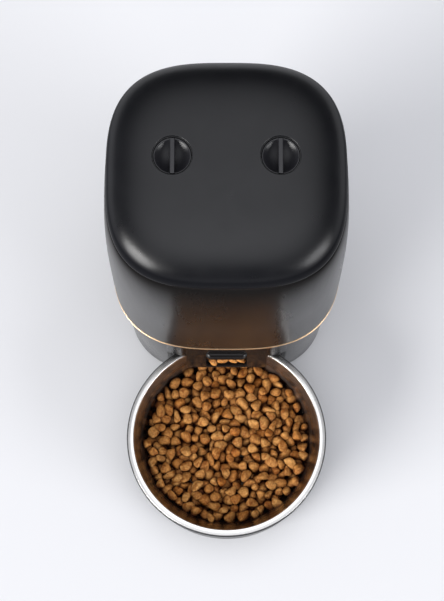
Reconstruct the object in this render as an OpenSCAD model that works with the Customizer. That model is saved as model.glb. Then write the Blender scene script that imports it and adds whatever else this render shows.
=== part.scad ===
// Automatic pet feeder: a rounded-square tower with a lift-off hopper and a twist-locked lid,
// a portioning rotor over a sloped chute, and a steel bowl in a tray that tucks under the outlet.
// Front is -Y, up is +Z, and the origin is at the middle of the footprint on the ground.

/* [Tower] */
// Overall height to the top of the lid
tower_h = 330; // [322:1:342]
// Half-width of the base
base_half = 90; // [88:0.5:91]
// Height of the base's top deck
base_top = 129; // [128:0.5:130]
// Exponent of the rounded-square plan, 2 is a circle
corner = 3.0; // [2.8:0.05:3.3]
// Half-width at the trim ring
ring_half = 97.4; // [95:0.2:99]
// Height of the trim ring
ring_h = 2.2; // [1.8:0.2:2.4]
// Half-width at the lid seam
seam_half = 89.8; // [89:0.2:92]
// Height of the lid seam
seam_z = 303; // [301:1:306]
// How far the hopper wall swells out between the trim ring and the seam
swell = 1.2; // [1:0.2:4]
// How much further its left and right sides swell
side_swell = 2.3; // [0:0.1:2.4]
// Width of the seam over its depth, 1 is square
flare = 1.027; // [1:0.001:1.03]
// How much rounder the corners are at mid-height
mid_round = 0.4; // [0:0.05:0.45]
// Wall thickness of the outer shells
wall = 2.6; // [2.2:0.1:2.8]

/* [Lid] */
// Exponent of the lid's dome, higher is a tighter shoulder
dome = 5; // [4.5:0.25:6]
// Diameter of a locking knob
knob_d = 28.8; // [27:0.2:30]
// Distance of a knob from the middle plane
knob_x = 40.7; // [39:0.1:42]
// Distance of the knobs behind the tower's middle
knob_back = 7.4; // [5:0.2:10]

/* [Bowl] */
// Inner radius of the bowl's rim
bowl_r = 81; // [78:0.5:82]
// Width of the bowl's rim
rim_w = 6.4; // [5:0.2:6.6]
// Height of the bowl's rim
rim_z = 55; // [50:1:56]
// Distance from the tower's middle to the bowl's middle
bowl_reach = 158.5; // [157:0.5:165]

/* [Outlet] */
// Width of the chute panel
panel_w = 69; // [64:1:74]
// How far the panel's lower lip stands in front of the tower's middle
lip_reach = 99; // [97:0.5:101]
// Height of the panel's lower lip
lip_z = 65.5; // [65.2:0.1:67]
// Width of the chute's passage
outlet_w = 30; // [28:1:32]

/* [Drive] */
// Radius of the portioning rotor, without its wiper tips
rotor_r = 55; // [52:0.5:56]
// Thickness of a rotor paddle
blade_t = 3; // [2:0.5:4]

/* [Hidden] */
$fn = 96;

gap = 0.4;                      // clearance between pieces that part
fit = 0.05;                     // radial running clearance of a pin in its bore
foot_h = 3;
cover_t = 2.4;
recess_top = 62;
tray_edge = 1.2;                // how far the tray's edge shows outside the rim
tray_r = bowl_r + rim_w + tray_edge;
recess_r = tray_r + 2.6;
base_in = base_half - wall;

// Half-depth of the hopper wall at a height, its width over its depth, and its plan's exponent
function hopper_t(z) = (z - base_top) / (seam_z - base_top);
function hopper_half(z) =
    ring_half + (seam_half - ring_half) * hopper_t(z) + swell * sin(180 * hopper_t(z));
function hopper_stretch(z) =
    1 + (flare - 1) * hopper_t(z) + side_swell * sin(180 * hopper_t(z)) / hopper_half(z);
function hopper_corner(z) = corner - mid_round * sin(180 * hopper_t(z));

hopper_rows = 11;
hopper_low = base_top + gap;    // underside of the trim ring
hopper_wall_low = hopper_low + ring_h;
hopper_high = seam_z - gap / 2;
hopper_z = [for (i = [0:hopper_rows])
    hopper_wall_low + (hopper_high - hopper_wall_low) * i / hopper_rows];
widest = max(ring_half, max([for (z = hopper_z) hopper_half(z)]));

// Placing the tower and the bowl so that the footprint's middle is the origin
tower_y = (bowl_reach + tray_r - widest) / 2;
bowl_y = tower_y - bowl_reach;

// Lid and tank levels
lid_low = seam_z + gap / 2;
lid_rise = tower_h - lid_low;
tank_wall = 2;
tank_half = seam_half - wall - 1;
tank_top = seam_z - 1.5;
liner_half = tank_half - tank_wall - 2.2;
liner_low = tank_top - 3;
liner_t = 2;
knob_r = knob_d / 2;
knob_floor = tower_h - 14;
spindle_r = 4;
latch_z = liner_low - 9.5;
latch_t = 3.2;
latch_reach = 37.5;

// Rotor chamber levels
chamber_r = rotor_r + 5.2;
chamber_low = 116;
chamber_t = 2.5;
chamber_top = 146;
chamber_out = chamber_r + 2.5;
rotor_low = chamber_low + chamber_t + 0.5;
rotor_high = 143;
pockets = 6;
hub_r = 12;
shaft_r = 4;
neck_r = 56;
neck_low = chamber_top + 1.6;
funnel_top = 196;

// Drive train: the pinion stands straight behind the gear
gear_m = 1.25;
gear_teeth = 30;
pinion_teeth = 16;
gear_r = gear_m * gear_teeth / 2;
pinion_r = gear_m * pinion_teeth / 2;
motor_y = gear_r + pinion_r;
gear_low = 102;
gear_t = 7;
pressure = 25;
gearbox_top = 99;
gearbox_low = 76;
motor_low = 46.5;

// Battery compartment
cell_r = 16.9;
cell_l = 61;
cell_pitch = 34.8;
well_wall = 2;
well_w = 108;
well_d = 66;
well_front = 10;
well_top = 45;
cell_z = foot_h + 4 + cell_r;
door_gap = 0.4;
door_t = 2;
door_back = 1.2;                // door edge behind its hinge pin
door_pin_y = well_front + well_d - 2.4;
door_pin_z = foot_h + 1.6;
door_pin_r = 1.2;

// Fasteners and feet
post_x = 68;
post_back = 58;
post_front = -34;
post_r = 4.2;
screw_r = 1.3;
head_r = 3;
foot_x = 64.5;
foot_back = 62;
foot_front = -36;
flange_r = 70;
flange_screw_r = 66.4;

// Rear wall pieces
button_x = -25;
lens_x = 25;
rear_z = 88;
button_r = 6;
lens_r = 2;
inlet_z = 62;
inlet_r = 5.6;
board_y = base_half - 14;

// Panel outline, front face leaning out towards its lower lip
panel_top = base_top - wall - 0.4;
panel_back = base_half - 6;
panel_t = 2.4;
outlet_low = 72;
outlet_high = 98;

module at_tower() translate([0, tower_y, 0]) children();
module at_bowl() translate([0, bowl_y, 0]) children();

// ---- rounded-square outlines and lofted shells ----
sides = 80;
function pow_sign(v, p) = sign(v) * pow(abs(v), p);
function square_ring(half, n) = [for (i = [0:sides - 1])
    let (t = 360 * i / sides)
    [half * pow_sign(cos(t), 2 / n), half * pow_sign(sin(t), 2 / n)]];
function ring_at(half, n, z, stretch = 1) = [for (p = square_ring(half, n)) [p[0] * stretch, p[1], z]];
function next(i) = (i + 1) % sides;
function flat(lists) = [for (l = lists) for (v = l) v];

module outline(half) polygon(square_ring(half, corner));

// Sides between successive rings, seen from outside or from inside
function outer_sides(first, rows) = [for (r = [0:rows - 2]) for (i = [0:sides - 1])
    let (a = first + r * sides)
    [a + i, a + sides + i, a + sides + next(i), a + next(i)]];
function inner_sides(first, rows) = [for (r = [0:rows - 2]) for (i = [0:sides - 1])
    let (a = first + r * sides)
    [a + i, a + next(i), a + sides + next(i), a + sides + i]];
function rim_below(a, b) = [for (i = [0:sides - 1]) [a + i, a + next(i), b + next(i), b + i]];
function rim_above(a, b) = [for (i = [0:sides - 1]) [a + i, b + i, b + next(i), a + next(i)]];

// A wall open at both ends, from lists of rings that run upwards
module tube_shell(outer, inner) {
    b = len(outer) * sides;
    last_outer = b - sides;
    last_inner = b + (len(inner) - 1) * sides;
    polyhedron(
        points = concat(flat(outer), flat(inner)),
        faces = concat(
            outer_sides(0, len(outer)),
            inner_sides(b, len(inner)),
            rim_below(0, b),
            rim_above(last_outer, last_inner)),
        convexity = 8);
}

// A wall closed at the top, open at the bottom
module dome_shell(outer, inner) {
    b = len(outer) * sides;
    last_outer = b - sides;
    last_inner = b + (len(inner) - 1) * sides;
    polyhedron(
        points = concat(flat(outer), flat(inner)),
        faces = concat(
            outer_sides(0, len(outer)),
            inner_sides(b, len(inner)),
            rim_below(0, b),
            [[for (i = [sides - 1:-1:0]) last_outer + i]],
            [[for (i = [0:sides - 1]) last_inner + i]]),
        convexity = 8);
}

module rounded_rect(w, h, r) {
    square([w - 2 * r, h], center = true);
    square([w, h - 2 * r], center = true);
    for (x = [-1, 1], y = [-1, 1]) translate([x * (w / 2 - r), y * (h / 2 - r)]) circle(r = r, $fn = 32);
}

// Extrudes a profile drawn as [y, z] points across X
module across_x(w) translate([-w / 2, 0, 0]) rotate([90, 0, 90]) linear_extrude(w) children();

// ---- base ----
module base_plan(inset) difference() {
    outline(base_half - inset);
    translate([0, -bowl_reach]) circle(r = recess_r + inset, $fn = 160);
}

module screw_places() for (s = [-1, 1], y = [post_front, post_back])
    translate([s * post_x, y, 0]) children();

module base_shell() color("#2c2b2d") at_tower() difference() {
    translate([0, 0, foot_h]) linear_extrude(base_top - foot_h) difference() {
        outline(base_half);
        outline(base_in);
    }
    translate([0, -bowl_reach, foot_h - 1])
        cylinder(r = recess_r, h = recess_top - foot_h + 1, $fn = 160);
    translate([-panel_w / 2 - 0.2, -base_half - 5, recess_top + wall])
        cube([panel_w + 0.4, wall + 10, panel_top - recess_top - wall + 0.2]);
    translate([button_x, base_half + 2, rear_z]) rotate([90, 0, 0]) cylinder(r = button_r + 0.3, h = 10);
    translate([lens_x, base_half + 2, rear_z]) rotate([90, 0, 0]) cylinder(r = lens_r, h = 10);
    translate([0, base_half + 2, inlet_z]) rotate([90, 0, 0]) cylinder(r = inlet_r, h = 10);
}

// Round alcove for the bowl, with its roof and the slot that takes the tray's hook plate
module bowl_recess() color("#262528") at_tower() difference() {
    intersection() {
        translate([0, -bowl_reach, foot_h]) difference() {
            cylinder(r = recess_r + wall, h = recess_top + wall - foot_h, $fn = 160);
            translate([0, 0, -1]) cylinder(r = recess_r, h = recess_top - foot_h + 1, $fn = 160);
        }
        translate([0, 0, foot_h]) linear_extrude(recess_top) outline(base_in);
    }
    translate([-23, -base_half, foot_h + cover_t + 0.2]) cube([46, 40, 4.4]);
}

module base_deck() color("#2a292b") at_tower() difference() {
    union() {
        translate([0, 0, base_top - wall]) linear_extrude(wall) outline(base_in);
        screw_places() translate([0, 0, foot_h + cover_t + 0.2])
            cylinder(r = post_r, h = base_top - foot_h - cover_t - 1);
    }
    translate([0, 0, base_top - wall - 1]) cylinder(r = chamber_out + 0.3, h = wall + 2);
    screw_places() cylinder(r = screw_r, h = 20);
    for (a = [45:90:315]) rotate(a) translate([flange_screw_r, 0, base_top - wall - 1])
        cylinder(r = screw_r, h = wall + 0.6);
}

module bottom_cover() color("#262628") at_tower() difference() {
    union() {
        translate([0, 0, foot_h]) linear_extrude(cover_t) base_plan(wall + 0.2);
        translate([-well_w / 2 - well_wall, well_front - well_wall, foot_h])
            cube([well_w + 2 * well_wall, well_d + 2 * well_wall, well_top - foot_h]);
    }
    translate([-well_w / 2, well_front, foot_h - 1])
        cube([well_w, well_d, well_top - well_wall - foot_h + 1]);
    translate([-well_w / 2 - 3, door_pin_y, door_pin_z]) rotate([0, 90, 0])
        cylinder(r = door_pin_r + fit, h = well_w + 6);
    screw_places() translate([0, 0, foot_h - 1]) {
        cylinder(r = screw_r + 0.3, h = 6);
        cylinder(r = head_r + 0.2, h = 2.6);
    }
    // finger notch in front of the door
    translate([0, well_front - 1, foot_h - 1]) cylinder(r = 8, h = 2.2);
}

module battery_door() color("#2a2a2c") at_tower() {
    translate([-well_w / 2 + door_gap, well_front + door_gap, foot_h + 0.2])
        cube([well_w - 2 * door_gap, door_pin_y + door_back - well_front - door_gap, door_t]);
    for (s = [-1, 1]) translate([s * (well_w / 2 + 0.3), door_pin_y, door_pin_z]) rotate([0, 90, 0])
        cylinder(r = door_pin_r, h = 3, center = true);
    // grip ribs along the free edge
    for (i = [0:4]) translate([-15, well_front + 4 + 2.4 * i, foot_h + door_t])
        cube([30, 1, 1]);
}

module foot_places() for (s = [-1, 1], y = [foot_front, foot_back])
    translate([s * foot_x, y, 0]) children();

module rubber_feet() color("#1a1a1a") at_tower() foot_places()
    rotate_extrude() polygon([[0, 0], [8.4, 0], [9, 0.6], [9, foot_h], [0, foot_h]]);

module cover_screws() color("#b9bcc0") at_tower() screw_places() translate([0, 0, foot_h + 0.2]) {
    difference() {
        cylinder(r = head_r, h = 1.4, $fn = 48);
        for (a = [0, 90]) rotate(a) translate([-1.8, -0.4, -1]) cube([3.6, 0.8, 1.8]);
    }
    translate([0, 0, 1.2]) cylinder(r = screw_r, h = 13, $fn = 48);
}

module cell_places() for (i = [-1:1]) translate([i * cell_pitch, well_front + 2.4, cell_z]) children();

module battery_cells() color("#8f7440") at_tower() cell_places() rotate([-90, 0, 0]) {
    cylinder(r = cell_r, h = cell_l - 1.4);
    cylinder(r = 5, h = cell_l);
}

module battery_contacts() color("#c9cbce") at_tower() cell_places() rotate([-90, 0, 0]) {
    translate([0, 0, -1.4]) cylinder(r = 7, h = 1.3);
    translate([0, 0, cell_l + 0.1]) cylinder(r = 6, h = 1.4);
}

// ---- outlet ----
// Front face of the panel as [y, z] points, a slow curve from the deck out to the lip
function panel_front(t) = [-(base_half + 0.8) - (lip_reach - base_half - 0.8) * sin(90 * t),
    panel_top - (panel_top - lip_z - 1.5) * t];
panel_face = [for (i = [0:8]) panel_front(i / 8)];
lip_round = [for (a = [0:30:90]) [-lip_reach + 1.5 - 1.5 * cos(a), lip_z + 1.5 - 1.5 * sin(a)]];

module panel_block(w) across_x(w) polygon(concat(panel_face, lip_round,
    [[-panel_back, lip_z], [-panel_back, panel_top]]));

module chute_panel() color("#2f2c2b") at_tower() difference() {
    panel_block(panel_w);
    across_x(panel_w - 2 * panel_t) polygon(concat(
        [for (p = panel_face) if (p[1] > lip_z + panel_t) [p[0] + panel_t, min(p[1], panel_top - panel_t)]],
        [[-lip_reach + panel_t, lip_z + panel_t], [-panel_back + 1, lip_z + panel_t],
            [-panel_back + 1, panel_top - panel_t]]));
    translate([0, -lip_reach - 4, (outlet_low + outlet_high) / 2 - 0.5]) rotate([-90, 0, 0])
        linear_extrude(20) rounded_rect(outlet_w + 5, outlet_high - outlet_low + 5, 3);
}

// Visor over the outlet: a rounded block with a domed top, hollow underneath
module outlet_hood() color("#1c1c1e") at_tower() difference() {
    translate([0, -base_half - 5.4, outlet_high + 2.4]) difference() {
        intersection() {
            linear_extrude(10) rounded_rect(36, 13, 6);
            translate([0, 1, 0]) rotate([0, 90, 0]) cylinder(r = 8.5, h = 60, center = true);
        }
        translate([0, 0, -1]) linear_extrude(4) rounded_rect(32, 9, 4);
    }
    panel_block(panel_w);
}

// Inside of the food passage as [y, z] points
chute_in = [[-24, chamber_low + 1], [-24, 112], [-94, outlet_low], [-94, outlet_high],
    [-60, 114], [-60, chamber_low + 1]];
chute_out = [[-22, chamber_low - 0.1], [-22, 110.6], [-93.4, outlet_low - 2.1], [-93.4, outlet_high + 1.8],
    [-62, 114], [-62, chamber_low - 0.1]];

module food_chute() color("#3a3a3d") at_tower() difference() {
    across_x(outlet_w + 4) polygon(chute_out);
    across_x(outlet_w) polygon(chute_in);
    for (s = [-1, 1]) translate([s * outlet_w / 2, -70, 99]) rotate([0, 90, 0])
        cylinder(r = 3, h = 6, center = true);
}

module fall_sensors() color("#4b1d22") at_tower() for (s = [-1, 1])
    translate([s * (outlet_w / 2 + 1.6), -70, 99]) rotate([0, 90, 0]) {
        cylinder(r = 3 - fit, h = 3.2, center = true);
        translate([0, 0, s * 2.2]) cylinder(r = 4.5, h = 1.6, center = true);
    }

// ---- rotor chamber ----
module outlet_sector() intersection() {
    difference() {
        circle(r = rotor_r + 2);
        circle(r = 24);
    }
    translate([-outlet_w / 2, -60]) square([outlet_w, 60]);
}

module rotor_housing() color("#3d3d40") at_tower() difference() {
    union() {
        translate([0, 0, chamber_low]) cylinder(r = chamber_out, h = chamber_top - chamber_low);
        translate([0, 0, base_top - wall - 2.5]) cylinder(r = flange_r, h = 2.4);
    }
    translate([0, 0, chamber_low - 1]) cylinder(r = chamber_r, h = 40);
    for (a = [45:90:315]) rotate(a) translate([flange_screw_r, 0, base_top - wall - 5])
        cylinder(r = screw_r + 0.3, h = 10);
}

module housing_floor() color("#47474b") at_tower() difference() {
    union() {
        translate([0, 0, chamber_low]) cylinder(r = chamber_r, h = chamber_t);
        translate([0, 0, gear_low + gear_t + 1]) cylinder(r = 9, h = chamber_low - gear_low - gear_t);
    }
    translate([0, 0, chamber_low - 10]) cylinder(r = shaft_r + fit, h = 20);
    translate([0, 0, chamber_low - 1]) linear_extrude(5) outlet_sector();
}

module housing_screws() color("#b9bcc0") at_tower() for (a = [45:90:315])
    rotate(a) translate([flange_screw_r, 0, base_top - wall - 4.2]) {
        cylinder(r = head_r, h = 1.6, $fn = 48);
        translate([0, 0, 1.5]) cylinder(r = screw_r, h = 4, $fn = 48);
    }

// Flexible lip over the outlet pocket, so that only the swept portion drops
module cutoff_baffle() color("#6a6a6e") at_tower() translate([0, 0, rotor_high + 0.8])
    linear_extrude(1.8) intersection() {
        difference() {
            circle(r = chamber_r);
            circle(r = 17);
        }
        polygon([[0, 0], [-52, -62], [52, -62]]);
    }

module gearbox() color("#a9abae") at_tower() translate([0, motor_y, 0]) difference() {
    translate([0, 0, gearbox_low]) cylinder(r = 18.5, h = gearbox_top - gearbox_low);
    translate([0, 0, gearbox_top - 8]) cylinder(r = 3 + fit, h = 10);
}

module drive_motor() color("#8d8f93") at_tower() translate([0, motor_y, motor_low]) {
    cylinder(r = 17, h = gearbox_low - motor_low);
    translate([0, 0, -1]) cylinder(r = 5, h = 2);
}

module control_board() color("#1f5a35") at_tower() translate([-42, board_y, 52])
    cube([84, 1.6, 50]);

module board_parts() color("#222326") at_tower() {
    translate([-30, board_y - 2.4, 60]) cube([18, 2.3, 18]);
    translate([6, board_y - 3.1, 66]) cube([25, 3, 16]);
    translate([-6, board_y - 5.6, 84]) cube([20, 5.5, 7]);
    translate([-34, board_y - 9.1, 90]) rotate([-90, 0, 0]) cylinder(r = 4, h = 9, $fn = 48);
    translate([30, board_y - 9.1, 92]) rotate([-90, 0, 0]) cylinder(r = 4, h = 9, $fn = 48);
    // tact switch behind the feed button
    translate([button_x - 3, board_y + 1.7, rear_z - 3]) cube([6, 3, 6]);
}

module power_inlet() color("#161618") at_tower() translate([0, base_half, inlet_z])
    rotate([90, 0, 0]) difference() {
        union() {
            translate([0, 0, 0.2]) cylinder(r = inlet_r, h = 9);
            translate([0, 0, wall + 0.3]) cylinder(r = 7.6, h = 6);
        }
        difference() {
            translate([0, 0, -1]) cylinder(r = 3.2, h = 9.4);
            translate([0, 0, 1]) cylinder(r = 1.05, h = 9);
        }
    }

module status_lens() color("#d8e6dc") at_tower() translate([lens_x, base_half, rear_z])
    rotate([90, 0, 0]) {
        translate([0, 0, 0.9]) cylinder(r = lens_r, h = 4);
        translate([0, 0, wall + 1.3]) cylinder(r = 3.4, h = 1.2);
    }

module feed_button() color("#5c5c60") at_tower() translate([button_x, base_half, rear_z])
    rotate([90, 0, 0]) {
        translate([0, 0, -0.9]) cylinder(r = button_r, h = wall + 3.4);
        translate([0, 0, wall + 2.4]) cylinder(r = button_r + 2, h = 1);
        translate([0, 0, wall + 2.4]) cylinder(r = 2, h = 2.7);
    }

// ---- turning parts ----
module rotor() color("#b8bbc0") at_tower() translate([0, 0, rotor_low]) difference() {
    union() {
        cylinder(r = hub_r, h = rotor_high - rotor_low);
        for (i = [0:pockets - 1]) rotate(i * 360 / pockets) translate([0, -blade_t / 2, 0])
            cube([rotor_r, blade_t, rotor_high - rotor_low - 1]);
    }
    translate([0, 0, -1]) cylinder(r = shaft_r, h = 40);
}

module rotor_wipers() color("#5d6064") at_tower() for (i = [0:pockets - 1])
    rotate(i * 360 / pockets) translate([rotor_r, -1, rotor_low + 0.3])
        cube([4.6, 2, rotor_high - rotor_low - 2]);

module rotor_cap() color("#9ea1a6") at_tower() translate([0, 0, rotor_high]) rotate_extrude()
    polygon(concat([[0, 0], [14, 0]], [for (a = [0:10:80]) [14 * cos(a), 1 + 8 * sin(a)]], [[0, 9]]));

module rotor_shaft() color("#cfd1d4") at_tower() translate([0, 0, gear_low - 1])
    cylinder(r = shaft_r, h = rotor_high - gear_low + 1);

// Involute gear, with a tooth centred on +X
function involute(base, a) = [base * (cos(a) + a * PI / 180 * sin(a)),
    base * (sin(a) - a * PI / 180 * cos(a))];
function spin(p, a) = [p[0] * cos(a) - p[1] * sin(a), p[0] * sin(a) + p[1] * cos(a)];
function inv_deg(a) = tan(a) * 180 / PI - a;

module spur_gear(teeth, thick, bore) {
    pitch = gear_m * teeth / 2;
    base = pitch * cos(pressure);
    tip = pitch + gear_m * 0.95;
    root = pitch - gear_m * 1.2;
    start = max(base, root);
    // half of a tooth at the pitch circle, in degrees, less the backlash
    half = 90 / teeth - 0.08 / pitch * 180 / PI;
    roll = [for (i = [0:5]) let (r = start + (tip - start) * i / 5)
        sqrt(max(0, pow(r / base, 2) - 1)) * 180 / PI];
    shift = half + inv_deg(pressure);
    flank = [for (a = roll) spin(involute(base, a), -shift)];
    mirrored = [for (i = [len(flank) - 1:-1:0]) [flank[i][0], -flank[i][1]]];
    foot = concat([spin([root, 0], -shift)], flank, mirrored, [spin([root, 0], shift)]);
    difference() {
        linear_extrude(thick) union() {
            circle(r = root + 0.02);
            for (i = [0:teeth - 1]) rotate(i * 360 / teeth) polygon(concat([[0, 0]], foot));
        }
        translate([0, 0, -1]) cylinder(r = bore, h = thick + 2);
    }
}

module drive_gear() color("#d9d4c4") at_tower() translate([0, 0, gear_low])
    spur_gear(gear_teeth, gear_t, shaft_r);

module motor_pinion() color("#c7a45a") at_tower() translate([0, motor_y, gear_low])
    spur_gear(pinion_teeth, gear_t, 3);

module output_shaft() color("#cfd1d4") at_tower() translate([0, motor_y, gearbox_top - 7])
    cylinder(r = 3, h = gear_low + gear_t - gearbox_top + 7.5);

// ---- hopper ----
function hopper_ring(half, z) = ring_at(half, hopper_corner(z), z, hopper_stretch(z));

module hopper_shell() color("#1d1b1b") at_tower() tube_shell(
    [for (z = hopper_z) hopper_ring(hopper_half(z), z)],
    [for (z = hopper_z) hopper_ring(hopper_half(z) - wall, z)]);

module hopper_floor() color("#252326") at_tower() translate([0, 0, hopper_low])
    linear_extrude(ring_h) difference() {
        outline(ring_half - 1.4);
        circle(r = chamber_out + 7.3);
    }

module trim_ring() color("#c98f5e") at_tower() translate([0, 0, hopper_low]) linear_extrude(ring_h)
    difference() {
        outline(ring_half);
        outline(ring_half - 1.3);
    }

// The tank runs from a round neck through a funnel to a rounded-square mouth, in two
// pieces that meet where the funnel ends
function tank_blend(z) = min(1, max(0, (z - neck_low - 4) / (funnel_top - neck_low - 4)));
function tank_at(z) = neck_r + 2 + (tank_half - 1.6 - neck_r - 2) * tank_blend(z)
    + 1.6 * (z - neck_low) / (tank_top - neck_low);
function tank_n(z) = 2 + (corner - 2) * tank_blend(z);
funnel_z = concat([neck_low, neck_low + 4],
    [for (i = [1:6]) neck_low + 4 + (funnel_top - neck_low - 4) * i / 6]);
module tank_wall_between(levels) tube_shell(
    [for (z = levels) ring_at(tank_at(z), tank_n(z), z)],
    [for (z = levels) ring_at(tank_at(z) - tank_wall, tank_n(z), z)]);

module food_tank() color("#d7dadd") at_tower() tank_wall_between([funnel_top, tank_top]);
module tank_funnel() color("#cdd0d4") at_tower() tank_wall_between(funnel_z);

module neck_seal() color("#55585c") at_tower() translate([0, 0, chamber_top + gap]) difference() {
    cylinder(r = neck_r + 3.4, h = neck_low - chamber_top - gap);
    translate([0, 0, -1]) cylinder(r = neck_r, h = 6);
}

strike_x = tank_at(latch_z + 6) - tank_wall;

module lock_strikers() color("#a4a7ab") at_tower() for (s = [-1, 1])
    translate([s * (strike_x - 4.2), knob_back, latch_z + latch_t + gap]) {
        translate([0, 0, 1.4]) cube([8, 18, 2.8], center = true);
        translate([s * 2.8, 0, 2.2]) cube([2.4, 18, 4.4], center = true);
    }

// ---- lid ----
dome_steps = [0, 7, 14, 21, 28, 36, 44, 52, 60, 68, 76, 83];
dome_end = dome_steps[len(dome_steps) - 1];
function dome_ring(half, rise, a) =
    ring_at(half * pow(cos(a), 2 / dome), corner, lid_low + rise * sin(a) / sin(dome_end), flare);

module lid_shell() color("#3c3c3f") at_tower() difference() {
    dome_shell(
        [for (a = dome_steps) dome_ring(seam_half, lid_rise, a)],
        [for (a = dome_steps) dome_ring(seam_half - wall, lid_rise - wall, a)]);
    for (s = [-1, 1]) translate([s * knob_x, knob_back, knob_floor - 8])
        cylinder(r = knob_r + 0.8, h = 40, $fn = 64);
}

module knob_places() for (s = [-1, 1]) translate([s * knob_x, knob_back, 0]) children();

module knob_wells() color("#161617") at_tower() knob_places() difference() {
    union() {
        translate([0, 0, knob_floor - 2.2]) cylinder(r = knob_r + 0.75, h = tower_h - knob_floor + 0.2);
        translate([0, 0, liner_low + liner_t + 0.1])
            cylinder(r = 8, h = knob_floor - liner_low - liner_t - 1);
    }
    translate([0, 0, knob_floor]) cylinder(r = knob_r + 0.35, h = 30);
    translate([0, 0, liner_low]) cylinder(r = spindle_r + fit, h = 40);
}

module lid_liner() color("#c9ccd0") at_tower() difference() {
    union() {
        translate([0, 0, liner_low]) linear_extrude(liner_t) outline(liner_half);
        translate([0, 0, liner_low + liner_t]) linear_extrude(8) difference() {
            outline(liner_half - 6);
            outline(liner_half - 8);
        }
    }
    translate([0, 0, liner_low - 1]) {
        knob_places() cylinder(r = spindle_r + 0.1, h = 6);
        cylinder(r = 25.2, h = 6);
    }
}

module lid_gasket() color("#8b8e92") at_tower() translate([0, 0, liner_low - 0.6])
    linear_extrude(liner_t + 1.2) difference() {
        outline(liner_half + 1.6);
        outline(liner_half + 0.05);
    }

module desiccant_cup() color("#e3e5e8") at_tower() translate([0, 0, liner_low - 14]) difference() {
    union() {
        cylinder(r = 25, h = 14 + liner_t);
        translate([0, 0, 12]) cylinder(r = 27, h = 1.9);
    }
    translate([0, 0, -1]) cylinder(r = 23.2, h = 15);
}

module desiccant_cap() color("#d3d6da") at_tower() translate([0, 0, liner_low - 15.5]) difference() {
    union() {
        cylinder(r = 25, h = 1.5);
        translate([0, 0, 1.4]) cylinder(r = 23.1, h = 3);
    }
    translate([0, 0, 1.5]) cylinder(r = 21.6, h = 6);
    for (i = [-3:3]) translate([-12, i * 5 - 0.8, -1]) cube([24, 1.6, 6]);
}

// A round twist knob: a spherical dish crossed by a grip bar, on a spindle
module twist_knob() {
    difference() {
        translate([0, 0, knob_floor + 0.5]) cylinder(r = knob_r, h = 11);
        translate([0, 0, knob_floor + 0.5 + 11 + 12.5]) sphere(r = 18.3);
    }
    intersection() {
        translate([0, 0, knob_floor + 0.5]) cylinder(r = knob_r, h = 12.2);
        translate([-2, -knob_r, knob_floor + 0.5]) cube([4, 2 * knob_r, 12.2]);
    }
    translate([0, 0, latch_z]) cylinder(r = spindle_r, h = knob_floor - latch_z + 1);
}

// The latch arm points to the front when the lid is free and to the side when it is locked
module latch_arm() difference() {
    union() {
        cylinder(r = 7.5, h = latch_t);
        translate([-4.5, -latch_reach, 0]) cube([9, latch_reach, latch_t]);
        translate([0, -latch_reach, 0]) cylinder(r = 4.5, h = latch_t);
    }
    translate([0, 0, -1]) cylinder(r = spindle_r, h = 8);
}

module left_knob() color("#2e2e31") at_tower() translate([-knob_x, knob_back, 0]) twist_knob();
module right_knob() color("#2e2e31") at_tower() translate([knob_x, knob_back, 0]) twist_knob();
module left_latch() color("#b4b7bb") at_tower() translate([-knob_x, knob_back, latch_z]) latch_arm();
module right_latch() color("#b4b7bb") at_tower() translate([knob_x, knob_back, latch_z]) latch_arm();

// ---- bowl and tray ----
tray_low = 1.5;
tray_t = 2.2;
tray_top = rim_z - 2;

module bowl_tray() color("#1b1b1c") at_bowl() {
    rotate_extrude($fn = 160) polygon([[0, tray_low], [tray_r - 6, tray_low], [tray_r - 4, tray_low + 2],
        [tray_r - 0.6, tray_top - 6], [tray_r, tray_top - 4], [tray_r, tray_top],
        [tray_r - tray_t, tray_top], [tray_r - tray_t - 0.6, tray_top - 6],
        [tray_r - tray_t - 4.4, tray_low + tray_t + 2], [tray_r - tray_t - 6.2, tray_low + tray_t],
        [0, tray_low + tray_t]]);
    // hook plate that slides into the base
    translate([-22, tray_r - 8, foot_h + cover_t + 0.6]) cube([44, 22, 3.4]);
}

module tray_pads() color("#1a1a1a") at_bowl() for (a = [30, 150, 270]) rotate(a) translate([66, 0, 0])
    cylinder(r = 7, h = tray_low, $fn = 48);

// Bowl wall as [radius, height] points: the inside runs up to the rim, the outside comes back
steel = 1;
bowl_floor = 16;
bowl_base_r = 57;
bowl_round = 13;
function bowl_inside(t) = [for (a = [0:15:90])
    [bowl_base_r + (bowl_round - t) * sin(a), bowl_floor + bowl_round - (bowl_round - t) * cos(a)]];
rim_r = bowl_r + rim_w;

module steel_bowl() color("#d3d6d9") at_bowl() rotate_extrude($fn = 160) polygon(concat(
    [[0, bowl_floor]],
    bowl_inside(0),
    [[bowl_r - 0.6, rim_z - 2.4], [bowl_r, rim_z - 0.8], [bowl_r + 1, rim_z],
        [rim_r - 2.2, rim_z - 0.3], [rim_r - 0.7, rim_z - 0.8], [rim_r, rim_z - 1.7],
        [rim_r - 1, rim_z - 1.7], [rim_r - 2.4, rim_z - 1.3], [bowl_r + 1.4, rim_z - 1],
        [bowl_r + 0.4, rim_z - 2.6]],
    [for (i = [6:-1:0]) bowl_inside(-steel)[i]],
    [[0, bowl_floor - steel]]));

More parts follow.
